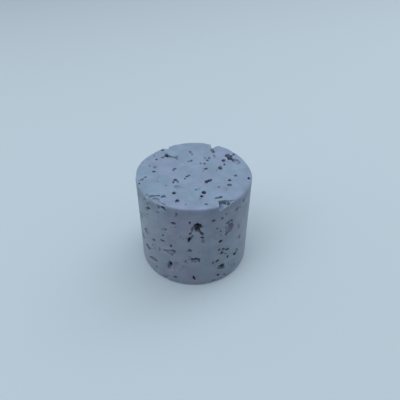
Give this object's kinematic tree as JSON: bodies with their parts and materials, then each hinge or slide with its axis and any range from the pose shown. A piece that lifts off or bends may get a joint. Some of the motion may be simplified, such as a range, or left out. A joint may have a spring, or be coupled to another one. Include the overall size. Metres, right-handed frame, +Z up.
{
  "type": "perfume bottle cap",
  "caption": "Cylindrical perfume bottle cap of ground porous stone, with a moulded insert in its foot that pushes on to a spray pump's collar.",
  "frame": {"origin": "centre of the foot, on the cap's axis", "axes": "+Z up along the cap's axis to its flat top, -Y to the front, +X to the right"},
  "size_m": [0.03, 0.03, 0.0268],
  "materials": {
    "stone": "fine-ground porous travertine, unpolished and unfilled",
    "insert": "as moulded, natural polypropylene"
  },
  "bodies": {
    "root": {"stone_body": "stone", "collar_insert": "insert"}
  },
  "joints": []
}
